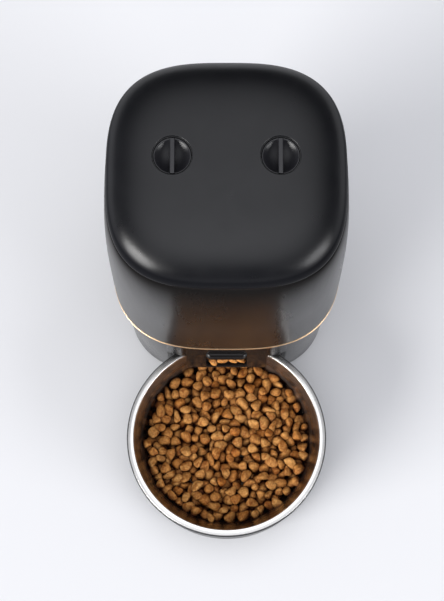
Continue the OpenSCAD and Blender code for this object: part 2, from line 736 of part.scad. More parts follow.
base_shell();
bowl_recess();
base_deck();
bottom_cover();
battery_door();
rubber_feet();
cover_screws();
battery_cells();
battery_contacts();
chute_panel();
outlet_hood();
food_chute();
fall_sensors();
rotor_housing();
housing_floor();
housing_screws();
cutoff_baffle();
gearbox();
drive_motor();
control_board();
board_parts();
power_inlet();
status_lens();
feed_button();
rotor();
rotor_wipers();
rotor_cap();
rotor_shaft();
drive_gear();
motor_pinion();
output_shaft();
hopper_shell();
hopper_floor();
trim_ring();
food_tank();
tank_funnel();
neck_seal();
lock_strikers();
lid_shell();
lid_liner();
lid_gasket();
knob_wells();
desiccant_cup();
desiccant_cap();
left_knob();
left_latch();
right_knob();
right_latch();
bowl_tray();
tray_pads();
steel_bowl();
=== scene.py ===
"""Automatic pet feeder.

Satin lid with two knobs, glossy hopper and base, copper trim, and a steel bowl of kibble.
Lengths are in mm in the piece functions and in metres in Blender's own values.
"""
import math
import random

import bmesh
import bpy
import numpy as np
from mathutils import Matrix, Vector


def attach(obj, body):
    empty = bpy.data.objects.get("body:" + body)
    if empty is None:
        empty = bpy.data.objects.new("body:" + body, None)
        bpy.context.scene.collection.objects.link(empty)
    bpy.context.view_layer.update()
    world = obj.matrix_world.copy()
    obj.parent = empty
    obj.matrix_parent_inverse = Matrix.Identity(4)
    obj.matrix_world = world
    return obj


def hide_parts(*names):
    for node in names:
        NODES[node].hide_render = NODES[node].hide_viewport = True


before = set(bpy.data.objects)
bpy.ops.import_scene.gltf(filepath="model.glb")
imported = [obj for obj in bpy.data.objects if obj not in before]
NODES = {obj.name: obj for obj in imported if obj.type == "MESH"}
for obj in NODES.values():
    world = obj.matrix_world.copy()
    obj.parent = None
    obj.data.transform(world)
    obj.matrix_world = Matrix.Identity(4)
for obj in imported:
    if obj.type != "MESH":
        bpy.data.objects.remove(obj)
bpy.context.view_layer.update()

TOWER_Y = 0.07485
BOWL_Y = -0.08365
TOWER = (0, TOWER_Y, 0)
BOWL = (0, BOWL_Y, 0)


# ---------------------------------------------------------------- camera and light

CAMERA_BACK, CAMERA_HEIGHT = 0.428, 1.616
CAMERA_TILT = 14.1


def make_camera():
    data = bpy.data.cameras.new("camera")
    data.lens = 108.4
    data.sensor_width = 36
    data.shift_x = -0.0075
    data.clip_start = 0.05
    data.clip_end = 20
    cam = bpy.data.objects.new("camera", data)
    cam.location = (0, TOWER_Y - CAMERA_BACK, CAMERA_HEIGHT)
    cam.rotation_euler = (math.radians(CAMERA_TILT), 0, 0)
    bpy.context.scene.collection.objects.link(cam)
    bpy.context.scene.camera = cam


def broad_light(name, way, strength, spread, colour):
    """A soft light from far off in a direction, spread over an angle in degrees."""
    data = bpy.data.lights.new(name, "SUN")
    data.energy = strength
    data.angle = math.radians(spread)
    data.color = colour
    ob = bpy.data.objects.new(name, data)
    ob.location = way
    ob.rotation_euler = Vector(way).to_track_quat("Z", "Y").to_euler()
    bpy.context.scene.collection.objects.link(ob)


make_camera()


# ---------------------------------------------------------------- mesh tools

def mm(points):
    return [tuple(0.001 * c for c in p) for p in points]


def mesh_object(name, verts, faces, at=(0, 0, 0)):
    mesh = bpy.data.meshes.new(name)
    mesh.from_pydata([tuple(v) for v in verts], [], [tuple(f) for f in faces])
    mesh.update()
    ob = bpy.data.objects.new(name, mesh)
    ob.location = at
    bpy.context.scene.collection.objects.link(ob)
    return ob


def shade(ob, angle=38):
    """Smooth shading, with edges sharper than the angle kept sharp."""
    bm = bmesh.new()
    bm.from_mesh(ob.data)
    bmesh.ops.recalc_face_normals(bm, faces=bm.faces)
    limit = math.radians(angle)
    for f in bm.faces:
        f.smooth = True
    for e in bm.edges:
        e.smooth = len(e.link_faces) == 2 and e.calc_face_angle(0.0) < limit
    bm.to_mesh(ob.data)
    bm.free()
    return ob


def apply_modifiers(ob):
    graph = bpy.context.evaluated_depsgraph_get()
    mesh = bpy.data.meshes.new_from_object(ob.evaluated_get(graph))
    old = ob.data
    ob.modifiers.clear()
    ob.data = mesh
    bpy.data.meshes.remove(old)
    return ob


def cut(ob, cutters):
    """Takes the cutters away from a piece and removes them."""
    for c in cutters:
        mod = ob.modifiers.new("cut", "BOOLEAN")
        mod.operation = "DIFFERENCE"
        mod.object = c
        mod.solver = "EXACT"
    apply_modifiers(ob)
    for c in cutters:
        bpy.data.objects.remove(c)
    return ob


def bevel(ob, width, segments=2, angle=40):
    mod = ob.modifiers.new("bevel", "BEVEL")
    mod.width = width * 0.001
    mod.segments = segments
    mod.limit_method = "ANGLE"
    mod.angle_limit = math.radians(angle)
    mod.use_clamp_overlap = True
    return apply_modifiers(ob)


def join(name, parts):
    """One mesh from several objects, in the frame of the first."""
    bm = bmesh.new()
    bpy.context.view_layer.update()
    base = parts[0].matrix_world.copy()
    for p in parts:
        part = bmesh.new()
        part.from_mesh(p.data)
        part.transform(base.inverted() @ p.matrix_world)
        mesh = bpy.data.meshes.new("tmp")
        part.to_mesh(mesh)
        part.free()
        bm.from_mesh(mesh)
        bpy.data.meshes.remove(mesh)
    mesh = bpy.data.meshes.new(name)
    bm.to_mesh(mesh)
    bm.free()
    ob = bpy.data.objects.new(name, mesh)
    ob.matrix_world = base
    bpy.context.scene.collection.objects.link(ob)
    for p in parts:
        bpy.data.objects.remove(p)
    return ob


def skin(name, rings, at=(0, 0, 0), closed=False):
    """A skin over rings of points.

    A ring of one point is a pole, and closed joins the last ring to the first.
    """
    verts, starts, faces = [], [], []
    for ring in rings:
        starts.append(len(verts))
        verts.extend([tuple(p) for p in ring])
    pairs = [(i, i + 1) for i in range(len(rings) - 1)]
    if closed:
        pairs.append((len(rings) - 1, 0))
    for a, b in pairs:
        na, nb, sa, sb = len(rings[a]), len(rings[b]), starts[a], starts[b]
        count = max(na, nb)
        for i in range(count):
            j = (i + 1) % count
            if na == 1:
                faces.append((sa, sb + j, sb + i))
            elif nb == 1:
                faces.append((sa + i, sa + j, sb))
            else:
                faces.append((sa + i, sa + j, sb + j, sb + i))
    return mesh_object(name, verts, faces, at)


def cap_ends(ob, count):
    """Closes the first and the last ring of a skin, of that many points each, with one face."""
    bm = bmesh.new()
    bm.from_mesh(ob.data)
    bm.verts.ensure_lookup_table()
    last = len(bm.verts) - count
    bm.faces.new([bm.verts[last + i] for i in range(count)])
    bm.faces.new([bm.verts[i] for i in range(count)][::-1])
    bm.to_mesh(ob.data)
    bm.free()


def rounded(points, radii, steps=4, closed=False):
    """A polyline with each corner replaced by an arc of about that radius."""
    out, n = [], len(points)
    for i, p in enumerate(points):
        r = radii[i] if isinstance(radii, (list, tuple)) else radii
        if r <= 0 or (not closed and i in (0, n - 1)):
            out.append(tuple(p))
            continue
        a, b = Vector(points[i - 1]), Vector(points[(i + 1) % n])
        p = Vector(p)
        u, v = a - p, b - p
        lu, lv = u.length, v.length
        if lu < 1e-9 or lv < 1e-9:
            out.append(tuple(p))
            continue
        u, v = u / lu, v / lv
        turn = math.pi - math.acos(max(-1, min(1, u.dot(v))))
        if turn < 0.02:
            out.append(tuple(p))
            continue
        cut_back = min(r * math.tan(turn / 2), 0.49 * lu, 0.49 * lv)
        s, e = p + u * cut_back, p + v * cut_back
        for k in range(steps + 1):
            t = k / steps
            out.append(tuple((1 - t) ** 2 * s + 2 * t * (1 - t) * p + t * t * e))
    return out


def lathe(name, profile, sides, at=(0, 0, 0), closed=True):
    """A surface of revolution from (radius, height) points in mm."""
    turn = np.linspace(0, 2 * math.pi, sides, endpoint=False)
    rings = []
    for r, z in profile:
        if r < 1e-6:
            rings.append([(0, 0, z * 0.001)])
        else:
            rings.append([(0.001 * r * math.cos(t), 0.001 * r * math.sin(t), 0.001 * z) for t in turn])
    return skin(name, rings, at, closed)


def even_square(exponent, sides):
    """A superellipse of half-width 1 as points evenly spaced along its length."""
    t = np.linspace(0, 2 * math.pi, 8001)
    c, s = np.cos(t), np.sin(t)
    x = np.sign(c) * np.abs(c) ** (2 / exponent)
    y = np.sign(s) * np.abs(s) ** (2 / exponent)
    length = np.concatenate([[0], np.cumsum(np.hypot(np.diff(x), np.diff(y)))])
    at = np.linspace(0, length[-1], sides, endpoint=False)
    return np.column_stack([np.interp(at, length, x), np.interp(at, length, y)])


SIDES = 320
SQUARE = even_square(3, SIDES)


def square_skin(name, profile, closed=True, stretch=1):
    """Rings of the tower's rounded-square plan from (half-width, height) points in mm."""
    rings = []
    for half, z in profile:
        if half < 1e-6:
            rings.append([(0, 0, z * 0.001)])
        else:
            rings.append([(0.001 * half * stretch * x, 0.001 * half * y, 0.001 * z) for x, y in SQUARE])
    return skin(name, rings, TOWER, closed)


def prism(name, outline, low, high, at=(0, 0, 0), axis="z"):
    """An outline of (a, b) points in mm pushed along an axis from low to high."""
    place = {
        "z": lambda a, b, c: (a, b, c),
        "x": lambda a, b, c: (c, a, b),
        "y": lambda a, b, c: (a, c, b),
    }[axis]
    n = len(outline)
    verts = mm([place(a, b, low) for a, b in outline] + [place(a, b, high) for a, b in outline])
    faces = [tuple(range(n)), tuple(range(2 * n - 1, n - 1, -1))]
    faces += [(i, n + i, n + (i + 1) % n, (i + 1) % n) for i in range(n)]
    ob = mesh_object(name, verts, faces, at)
    bm = bmesh.new()
    bm.from_mesh(ob.data)
    bmesh.ops.recalc_face_normals(bm, faces=bm.faces)
    bm.to_mesh(ob.data)
    bm.free()
    return ob


def circle(r, sides, at=(0, 0)):
    turns = [2 * math.pi * i / sides for i in range(sides)]
    return [(at[0] + r * math.cos(a), at[1] + r * math.sin(a)) for a in turns]


def rounded_rect(w, h, r, steps=8, at=(0, 0)):
    out = []
    for cx, cy, start in ((w / 2 - r, h / 2 - r, 0), (-w / 2 + r, h / 2 - r, 90),
                          (-w / 2 + r, -h / 2 + r, 180), (w / 2 - r, -h / 2 + r, 270)):
        for k in range(steps + 1):
            a = math.radians(start + 90 * k / steps)
            out.append((at[0] + cx + r * math.cos(a), at[1] + cy + r * math.sin(a)))
    return out


# ---------------------------------------------------------------- materials

class Paint:
    """A node material built up step by step."""

    def __init__(self, name):
        self.mat = bpy.data.materials.new(name)
        self.mat.use_nodes = True
        self.tree = self.mat.node_tree
        self.shader = self.tree.nodes["Principled BSDF"]
        self.coord = self.tree.nodes.new("ShaderNodeTexCoord").outputs["Object"]

    def node(self, kind, **inputs):
        n = self.tree.nodes.new(kind)
        for k, v in inputs.items():
            self.put(n.inputs[k.replace("_", " ")], v)
        return n

    def put(self, socket, value):
        if isinstance(value, bpy.types.NodeSocket):
            self.tree.links.new(value, socket)
        else:
            socket.default_value = value

    def set(self, **inputs):
        for k, v in inputs.items():
            self.put(self.shader.inputs[k.replace("_", " ")], v)

    def scaled(self, scale):
        n = self.node("ShaderNodeMapping", Vector=self.coord)
        n.inputs["Scale"].default_value = scale
        return n.outputs["Vector"]

    def noise(self, scale, detail=3, rough=0.55, vector=None, twist=0.0):
        n = self.node("ShaderNodeTexNoise", Vector=vector or self.coord, Scale=scale, Detail=detail,
                      Roughness=rough, Distortion=twist)
        return n.outputs["Fac"]

    def voronoi(self, scale, vector=None):
        n = self.node("ShaderNodeTexVoronoi", Vector=vector or self.coord, Scale=scale)
        return n.outputs["Distance"]

    def span(self, value, a, b, c, d):
        """A value between a and b carried over to between c and d, and held at those ends."""
        n = self.node("ShaderNodeMapRange", Value=value)
        for k, v in zip(("From Min", "From Max", "To Min", "To Max"), (a, b, c, d)):
            n.inputs[k].default_value = v
        return n.outputs["Result"]

    def math(self, op, a, b=0.0):
        n = self.tree.nodes.new("ShaderNodeMath")
        n.operation = op
        self.put(n.inputs[0], a)
        self.put(n.inputs[1], b)
        return n.outputs[0]

    def mix(self, fac, a, b):
        n = self.tree.nodes.new("ShaderNodeMix")
        n.data_type = "RGBA"
        self.put(n.inputs["Factor"], fac)
        for name, v in (("A", a), ("B", b)):
            socket = next(s for s in n.inputs if s.name == name and s.type == "RGBA")
            self.put(socket, v if isinstance(v, bpy.types.NodeSocket) else (*v, 1))
        return next(s for s in n.outputs if s.type == "RGBA")

    def by_height(self, low, high, below, above):
        """A value that goes from below to above between two heights in the piece's own frame."""
        sep = self.node("ShaderNodeSeparateXYZ", Vector=self.coord)
        return self.span(sep.outputs["Z"], low, high, below, above)

    def edges(self):
        """1 on sharp outer edges and 0 on flat surface."""
        geo = self.tree.nodes.new("ShaderNodeNewGeometry")
        return self.span(geo.outputs["Pointiness"], 0.505, 0.56, 0.0, 1.0)

    def bump(self, height, depth_mm, normal=None):
        n = self.node("ShaderNodeBump", Height=height, Distance=depth_mm * 0.001)
        if normal:
            self.put(n.inputs["Normal"], normal)
        return n.outputs["Normal"]


def moulded(name, colour, rough, grain=0.02, grain_scale=2600, ior=1.5, vary=0.06, worn=0.25, lighter=None,
            matt_below=None):
    """Moulded plastic: colour drift, uneven gloss, fine spark grain and slightly polished edges.

    matt_below gives two heights in metres and the specular level below and above them.
    """
    p = Paint(name)
    near = tuple(min(1, c * (1.05 + 2.2 * vary) + 0.0006) for c in colour)
    drift = p.span(p.noise(14, 4, 0.6), 0.35, 0.65, 0, 1)
    base = p.mix(drift, colour, near)
    rub = lighter or tuple(min(1, c * 1.5 + 0.012) for c in colour)
    wear = p.math("MULTIPLY", p.edges(), p.span(p.noise(260, 3, 0.7), 0.4, 0.62, 0.15, worn))
    p.set(Base_Color=p.mix(wear, base, rub))
    blotch = p.span(p.noise(34, 5, 0.62, twist=0.4), 0.3, 0.7, rough - 0.045, rough + 0.045)
    specks = p.span(p.noise(1500, 2, 0.5), 0.62, 0.8, 0.0, 0.07)
    p.set(Roughness=p.math("ADD", blotch, specks), IOR=ior)
    if matt_below:
        p.set(Specular_IOR_Level=p.by_height(*matt_below))
    fine = p.noise(grain_scale, 2, 0.55)
    soft = p.noise(55, 3, 0.5)
    p.set(Normal=p.bump(fine, grain, p.bump(soft, 0.03)))
    return p.mat


def gloss(name, colour, rough, ior=1.5, matt_above=None):
    """Polished plastic: faint orange peel, wiping marks in the gloss and sparse dust.

    Between the two heights of matt_above, in metres, the gloss fades out upwards.
    """
    p = Paint(name)
    near = tuple(min(1, c * 1.15 + 0.0015) for c in colour)
    drift = p.span(p.noise(11, 4, 0.6), 0.35, 0.65, 0, 1)
    dust = p.span(p.voronoi(420, vector=p.scaled((1, 1, 0.8))), 0.0, 0.07, 1.0, 0.0)
    sparse = p.math("MULTIPLY", dust, p.span(p.noise(90, 2, 0.5), 0.64, 0.74, 0.0, 0.03))
    wear = p.math("MULTIPLY", p.edges(), 0.3)
    base = p.mix(wear, p.mix(drift, colour, near), tuple(c * 2 + 0.02 for c in colour))
    p.set(Base_Color=p.mix(sparse, base, (0.16, 0.155, 0.15)))
    wipes = p.noise(22, 5, 0.65, vector=p.scaled((1, 1, 0.35)), twist=0.8)
    hair = p.noise(160, 2, 0.5, vector=p.scaled((1.0, 1.0, 0.04)))
    level = p.math("ADD", p.span(wipes, 0.3, 0.72, rough - 0.02, rough + 0.03),
                   p.span(hair, 0.55, 0.75, 0.0, 0.012))
    p.set(Roughness=p.math("ADD", level, p.math("MULTIPLY", sparse, 0.5)), IOR=ior)
    if matt_above:
        fade = p.math("POWER", p.by_height(*matt_above, 1.0, 0.0), 2.6)
        p.set(Specular_IOR_Level=p.math("MULTIPLY", fade, 0.5))
    peel = p.noise(240, 2, 0.45)
    p.set(Normal=p.bump(peel, 0.005, p.bump(p.noise(30, 2, 0.4), 0.03)))
    return p.mat


def metal(name, colour, rough, streak=(60, 60, 3), depth=0.006, tint=0.08):
    """Drawn or machined metal: directional hairlines, slight tint drift and brighter edges."""
    p = Paint(name)
    lines = p.noise(30, 4, 0.6, vector=p.scaled(streak))
    drift = p.noise(28, 4, 0.6)
    dull = tuple(c * (1 - 1.8 * tint) for c in colour)
    base = p.mix(p.span(drift, 0.3, 0.7, 0, 1), dull, colour)
    bright = tuple(min(1, c * 1.18 + 0.04) for c in colour)
    p.set(Base_Color=p.mix(p.math("MULTIPLY", p.edges(), 0.35), base, bright))
    p.shader.inputs["Metallic"].default_value = 1.0
    p.set(Roughness=p.math("ADD", p.span(lines, 0.3, 0.7, rough - 0.06, rough + 0.07),
                           p.span(drift, 0.35, 0.7, -0.02, 0.04)))
    p.set(Normal=p.bump(lines, depth))
    return p.mat


def turned_steel(name, colour, rough):
    """Spun stainless steel: fine rings about the axis and a few long wiping marks. Below the rim its colour
    is a painted brown reflection of the kibble.
    """
    p = Paint(name)
    sep = p.node("ShaderNodeSeparateXYZ", Vector=p.coord)
    r2 = p.math("ADD", p.math("MULTIPLY", sep.outputs["X"], sep.outputs["X"]),
                p.math("MULTIPLY", sep.outputs["Y"], sep.outputs["Y"]))
    radius = p.math("SQRT", r2)
    flat = p.node("ShaderNodeCombineXYZ")
    p.put(flat.inputs["X"], radius)
    p.put(flat.inputs["Y"], sep.outputs["Z"])
    rings = p.noise(2600, 3, 0.7, vector=flat.outputs["Vector"])
    broad = p.noise(190, 3, 0.6, vector=flat.outputs["Vector"])
    drift = p.noise(24, 4, 0.6)
    base = p.mix(p.span(drift, 0.3, 0.7, 0, 1), tuple(0.9 * c for c in colour), colour)
    spun = p.mix(p.span(rings, 0.35, 0.75, 0.0, 0.35), base, tuple(0.82 * c for c in colour))
    # Painted reflection: below the rim the steel's colour turns a darker brown-grey, standing in for the
    # kibble seen reflected in the wall.
    depth = p.span(sep.outputs["Z"], 0.0515, 0.0540, 1.0, 0.0)
    p.set(Base_Color=p.mix(depth, spun, (0.35, 0.31, 0.28)))
    p.shader.inputs["Metallic"].default_value = 1.0
    level = p.math("ADD", p.span(rings, 0.3, 0.7, rough - 0.05, rough + 0.05),
                   p.span(broad, 0.35, 0.7, -0.02, 0.05))
    p.set(Roughness=p.math("ADD", level, p.span(drift, 0.3, 0.7, -0.02, 0.03)))
    p.set(Normal=p.bump(rings, 0.0022, p.bump(broad, 0.004)))
    return p.mat


def rubber(name, colour, rough=0.75):
    p = Paint(name)
    cloud = p.span(p.noise(45, 5, 0.65), 0.3, 0.7, 0, 1)
    near = tuple(min(1, c * 1.25 + 0.006) for c in colour)
    p.set(Base_Color=p.mix(cloud, colour, near))
    p.set(Roughness=p.span(p.noise(420, 3, 0.6), 0.3, 0.7, rough - 0.09, rough + 0.07), IOR=1.45)
    p.set(Normal=p.bump(p.noise(1700, 3, 0.7), 0.05, p.bump(p.noise(120, 2, 0.5), 0.08)))
    return p.mat


def smoked(name, colour, rough=0.12):
    """Translucent moulded plastic, milky and slightly uneven."""
    p = Paint(name)
    cloud = p.span(p.noise(18, 4, 0.6), 0.3, 0.7, 0, 1)
    p.set(Base_Color=p.mix(cloud, colour, tuple(min(1, c * 1.08 + 0.01) for c in colour)))
    p.shader.inputs["Transmission Weight"].default_value = 0.55
    p.set(Roughness=p.span(p.noise(30, 4, 0.6, twist=0.5), 0.3, 0.7, rough - 0.04, rough + 0.08), IOR=1.49)
    p.set(Normal=p.bump(p.noise(45, 3, 0.5), 0.06))
    return p.mat


def circuit(name):
    """Green solder mask over copper tracks."""
    p = Paint(name)
    grid = p.node("ShaderNodeTexBrick", Vector=p.coord, Scale=160.0)
    tracks = p.span(grid.outputs["Fac"], 0.2, 0.8, 0.0, 0.8)
    cells = p.span(p.voronoi(380), 0.08, 0.11, 1.0, 0.0)
    green = p.mix(p.span(p.noise(60, 3, 0.6), 0.3, 0.7, 0, 1), (0.008, 0.085, 0.03), (0.012, 0.12, 0.045))
    p.set(Base_Color=p.mix(cells, p.mix(tracks, green, (0.03, 0.2, 0.08)), (0.5, 0.42, 0.2)))
    p.set(Roughness=p.span(p.noise(200, 3, 0.6), 0.3, 0.7, 0.28, 0.42))
    p.set(Normal=p.bump(tracks, 0.03))
    return p.mat


def wrapped_cell(name):
    """Battery sleeve: a metallic gold band over a dark band, split along the cell."""
    p = Paint(name)
    sep = p.node("ShaderNodeSeparateXYZ", Vector=p.coord)
    split = p.span(p.math("ADD", sep.outputs["X"], p.math("MULTIPLY", p.noise(90, 2, 0.5), 0.0004)),
                   0.0180, 0.0186, 0.0, 1.0)
    scuffs = p.span(p.noise(240, 4, 0.7, vector=p.scaled((1, 6, 6))), 0.55, 0.75, 0.0, 0.3)
    bands = p.mix(split, (0.02, 0.02, 0.022), (0.55, 0.34, 0.09))
    p.set(Base_Color=p.mix(scuffs, bands, (0.4, 0.4, 0.4)))
    p.shader.inputs["Metallic"].default_value = 0.6
    p.set(Roughness=p.span(p.noise(130, 4, 0.6), 0.3, 0.7, 0.24, 0.4))
    p.set(Normal=p.bump(p.noise(70, 3, 0.5), 0.05))
    return p.mat


def baked(name):
    """Extruded and baked kibble: golden crust, darker pits, grain flecks and a thin oily sheen, with painted
    shade darkening the crevices between grains.
    """
    p = Paint(name)
    tone = p.node("ShaderNodeVertexColor")
    tone.layer_name = "tone"
    sep = p.node("ShaderNodeSeparateColor", Color=tone.outputs["Color"])
    warm, where = sep.outputs[0], sep.outputs[1]
    move = p.node("ShaderNodeVectorMath")
    move.operation = "ADD"
    p.put(move.inputs[0], p.coord)
    spread = p.node("ShaderNodeCombineXYZ")
    p.put(spread.inputs["X"], p.math("MULTIPLY", where, 3.0))
    p.put(spread.inputs["Y"], p.math("MULTIPLY", warm, 5.0))
    p.put(move.inputs[1], spread.outputs["Vector"])
    at = move.outputs["Vector"]
    crust = p.noise(230, 6, 0.72, vector=at, twist=0.6)
    pits = p.voronoi(900, vector=at)
    light = p.mix(warm, (0.60, 0.228, 0.040), (0.86, 0.45, 0.14))
    dark = p.mix(warm, (0.24, 0.060, 0.006), (0.37, 0.130, 0.022))
    body = p.mix(p.span(crust, 0.38, 0.62, 0, 1), dark, light)
    holes = p.span(pits, 0.05, 0.26, 0.5, 0.0)
    flecks = p.span(p.noise(1050, 2, 0.5, vector=at), 0.60, 0.72, 0.0, 0.5)
    skin_tone = p.mix(flecks, p.mix(holes, body, (0.10, 0.03, 0.006)), (0.74, 0.45, 0.19))
    # Painted shade: where ambient occlusion finds crevices between grains, the base colour turns near
    # black-brown.
    gaps = p.node("ShaderNodeAmbientOcclusion", Distance=0.0075)
    gaps.samples = 6
    painted_crevice_shade = p.span(gaps.outputs["AO"], 0.20, 0.90, 1.0, 0.0)
    p.set(Base_Color=p.mix(painted_crevice_shade, skin_tone, (0.042, 0.005, 0.0004)))
    p.set(Roughness=p.span(crust, 0.3, 0.7, 0.62, 0.46), IOR=1.42)
    p.shader.inputs["Specular IOR Level"].default_value = 0.3
    rough = p.math("ADD", crust, p.math("MULTIPLY", p.span(pits, 0, 0.4, 0, 1), 0.35))
    p.set(Normal=p.bump(rough, 1.25, p.bump(p.noise(1500, 3, 0.6, vector=at), 0.09)))
    return p.mat


def plaster(name, colour):
    p = Paint(name)
    cloud = p.span(p.noise(1.6, 3, 0.5), 0.3, 0.7, 0, 1)
    p.set(Base_Color=p.mix(cloud, colour, tuple(0.992 * c for c in colour)))
    p.set(Roughness=p.span(p.noise(5, 3, 0.5), 0.3, 0.7, 0.62, 0.7), IOR=1.4)
    p.shader.inputs["Specular IOR Level"].default_value = 0.25
    return p.mat


LID = moulded("lid_satin", (0.0050, 0.0052, 0.0066), 0.31, grain=0.018, grain_scale=2400, vary=0.05,
              worn=0.12, lighter=(0.02, 0.02, 0.023), ior=1.41, matt_below=(0.3125, 0.3195, 0.02, 0.5))
KNOB = moulded("knob_satin", (0.012, 0.012, 0.0145), 0.32, grain=0.012, grain_scale=2400, ior=1.48)
HOPPER = gloss("hopper_gloss", (0.007, 0.0065, 0.0065), 0.28, ior=1.68, matt_above=(0.190, 0.304))
BASE = gloss("base_gloss", (0.006, 0.0055, 0.0055), 0.20)
PANEL = gloss("panel_gloss", (0.006, 0.005, 0.005), 0.22, ior=1.32)
INNER = moulded("inner_black", (0.014, 0.014, 0.015), 0.48, grain=0.03, grain_scale=1800)
INNER_GREY = moulded("inner_grey", (0.042, 0.042, 0.046), 0.45, grain=0.03, grain_scale=1800)
TRAY = moulded("tray_black", (0.010, 0.010, 0.011), 0.33, grain=0.01, grain_scale=2600)
COPPER = metal("copper_trim", (0.95, 0.65, 0.38), 0.32, streak=(40, 40, 900), depth=0.003, tint=0.05)
STEEL = turned_steel("bowl_steel", (0.80, 0.79, 0.775), 0.25)
SCREW = metal("screw_steel", (0.62, 0.63, 0.65), 0.30)
MOTOR = metal("motor_steel", (0.50, 0.50, 0.51), 0.36, streak=(8, 8, 260), depth=0.01)
BRASS = metal("gear_brass", (0.83, 0.62, 0.28), 0.28)
RUBBER = rubber("rubber_black", (0.016, 0.016, 0.017), 0.8)
SILICONE = rubber("silicone_grey", (0.16, 0.165, 0.17), 0.52)
ABS = moulded("abs_grey", (0.58, 0.59, 0.60), 0.36, grain=0.015, grain_scale=2200, vary=0.02, worn=0.12,
              lighter=(0.72, 0.73, 0.74))
ACETAL = moulded("gear_acetal", (0.78, 0.77, 0.73), 0.30, grain=0.008, vary=0.02, worn=0.1,
                 lighter=(0.86, 0.85, 0.82))
TANK = smoked("tank_clear", (0.78, 0.79, 0.80))
SENSOR = smoked("sensor_red", (0.10, 0.012, 0.02), 0.10)
LENS = smoked("lens_white", (0.82, 0.88, 0.84), 0.25)
BOARD = circuit("board_green")
CHIPS = moulded("chip_black", (0.018, 0.018, 0.02), 0.42, grain=0.02, grain_scale=5200)
CELLS = wrapped_cell("cell_wrap")
KIBBLE = baked("kibble")
FLOOR = plaster("floor_pale", (0.835, 0.84, 0.865))

CARRIED = {
    "bowl_recess": BASE, "base_deck": INNER, "bottom_cover": INNER, "battery_door": INNER,
    "rubber_feet": RUBBER, "cover_screws": SCREW, "battery_cells": CELLS, "battery_contacts": SCREW,
    "food_chute": INNER, "fall_sensors": SENSOR, "rotor_housing": INNER_GREY, "housing_floor": INNER_GREY,
    "housing_screws": SCREW, "cutoff_baffle": SILICONE, "gearbox": MOTOR, "drive_motor": MOTOR,
    "control_board": BOARD, "board_parts": CHIPS, "power_inlet": INNER, "status_lens": LENS,
    "feed_button": KNOB, "rotor": ABS, "rotor_wipers": SILICONE, "rotor_cap": ABS, "rotor_shaft": SCREW,
    "drive_gear": ACETAL, "motor_pinion": BRASS, "output_shaft": SCREW, "hopper_floor": INNER,
    "neck_seal": SILICONE, "lock_strikers": SCREW, "lid_liner": ABS, "lid_gasket": SILICONE,
    "knob_wells": INNER, "desiccant_cup": ABS, "desiccant_cap": ABS, "left_latch": SCREW,
    "right_latch": SCREW, "tray_pads": RUBBER,
}


def finish_piece(ob, mat, body, slot, *stands_for):
    """Gives a piece its material and its body, and hides the CAD nodes that it replaces. The slot is not
    used.
    """
    ob.data.materials.clear()
    ob.data.materials.append(mat)
    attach(ob, body)
    if stands_for:
        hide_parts(*stands_for)
    return ob


# ---------------------------------------------------------------- hopper, trim and base

FLARE = 1.027
SEAM_LOW, SEAM_HIGH = 129, 303
FOOT_HALF, LID_HALF = 97.4, 89.8
BULGE = 1.2


def hopper_half(z):
    """Half of the hopper's depth at a height."""
    t = (z - SEAM_LOW) / (SEAM_HIGH - SEAM_LOW)
    return FOOT_HALF + (LID_HALF - FOOT_HALF) * t + BULGE * math.sin(math.pi * t)


def hopper_skin(name, profile):
    """The hopper is squarer at its ends than at mid-height and widens sideways towards the lid."""
    rings = []
    for half, z in profile:
        t = (z - SEAM_LOW) / (SEAM_HIGH - SEAM_LOW)
        swell = math.sin(math.pi * min(1, max(0, t)))
        stretch = 1 + (FLARE - 1) * t + 2.3 * swell / hopper_half(z)
        plan = even_square(3 - 0.4 * swell, SIDES)
        rings.append([(0.001 * half * stretch * x, 0.001 * half * y, 0.001 * z) for x, y in plan])
    return skin(name, rings, TOWER, closed=True)


def make_hopper():
    low, high, wall = 131.6, 302.8, 2.6
    foot_r, brow_r = 0.6, 0.8
    outer = [(hopper_half(z), z) for z in np.linspace(low + foot_r, high - brow_r, 70)]
    foot = [(outer[0][0] - foot_r + foot_r * math.sin(a), low + foot_r - foot_r * math.cos(a))
            for a in np.radians([0, 30, 60])]
    brow = [(outer[-1][0] - brow_r + brow_r * math.cos(a), high - brow_r + brow_r * math.sin(a))
            for a in np.radians([22, 45, 68, 90])]
    inner = [(hopper_half(z) - wall, z) for z in np.linspace(high - 0.2, low + 0.2, 24)]
    ends = [(outer[-1][0] - wall + 0.3, high)] + inner + [(outer[0][0] - wall + 0.3, low)]
    ob = hopper_skin("hopper_wall", foot + outer + brow + ends)
    shade(ob)
    return finish_piece(ob, HOPPER, "hopper", "hopper_gloss", "hopper_shell")


def make_trim():
    inside, outside, low, high = 96.0, 97.6, 129.4, 131.7
    corners = [(inside, low), (outside, low), (outside, high), (inside, high)]
    profile = rounded(corners, 0.6, 5, closed=True)
    ob = square_skin("copper_band", profile)
    shade(ob)
    return finish_piece(ob, COPPER, "hopper", "copper_trim", "trim_ring")


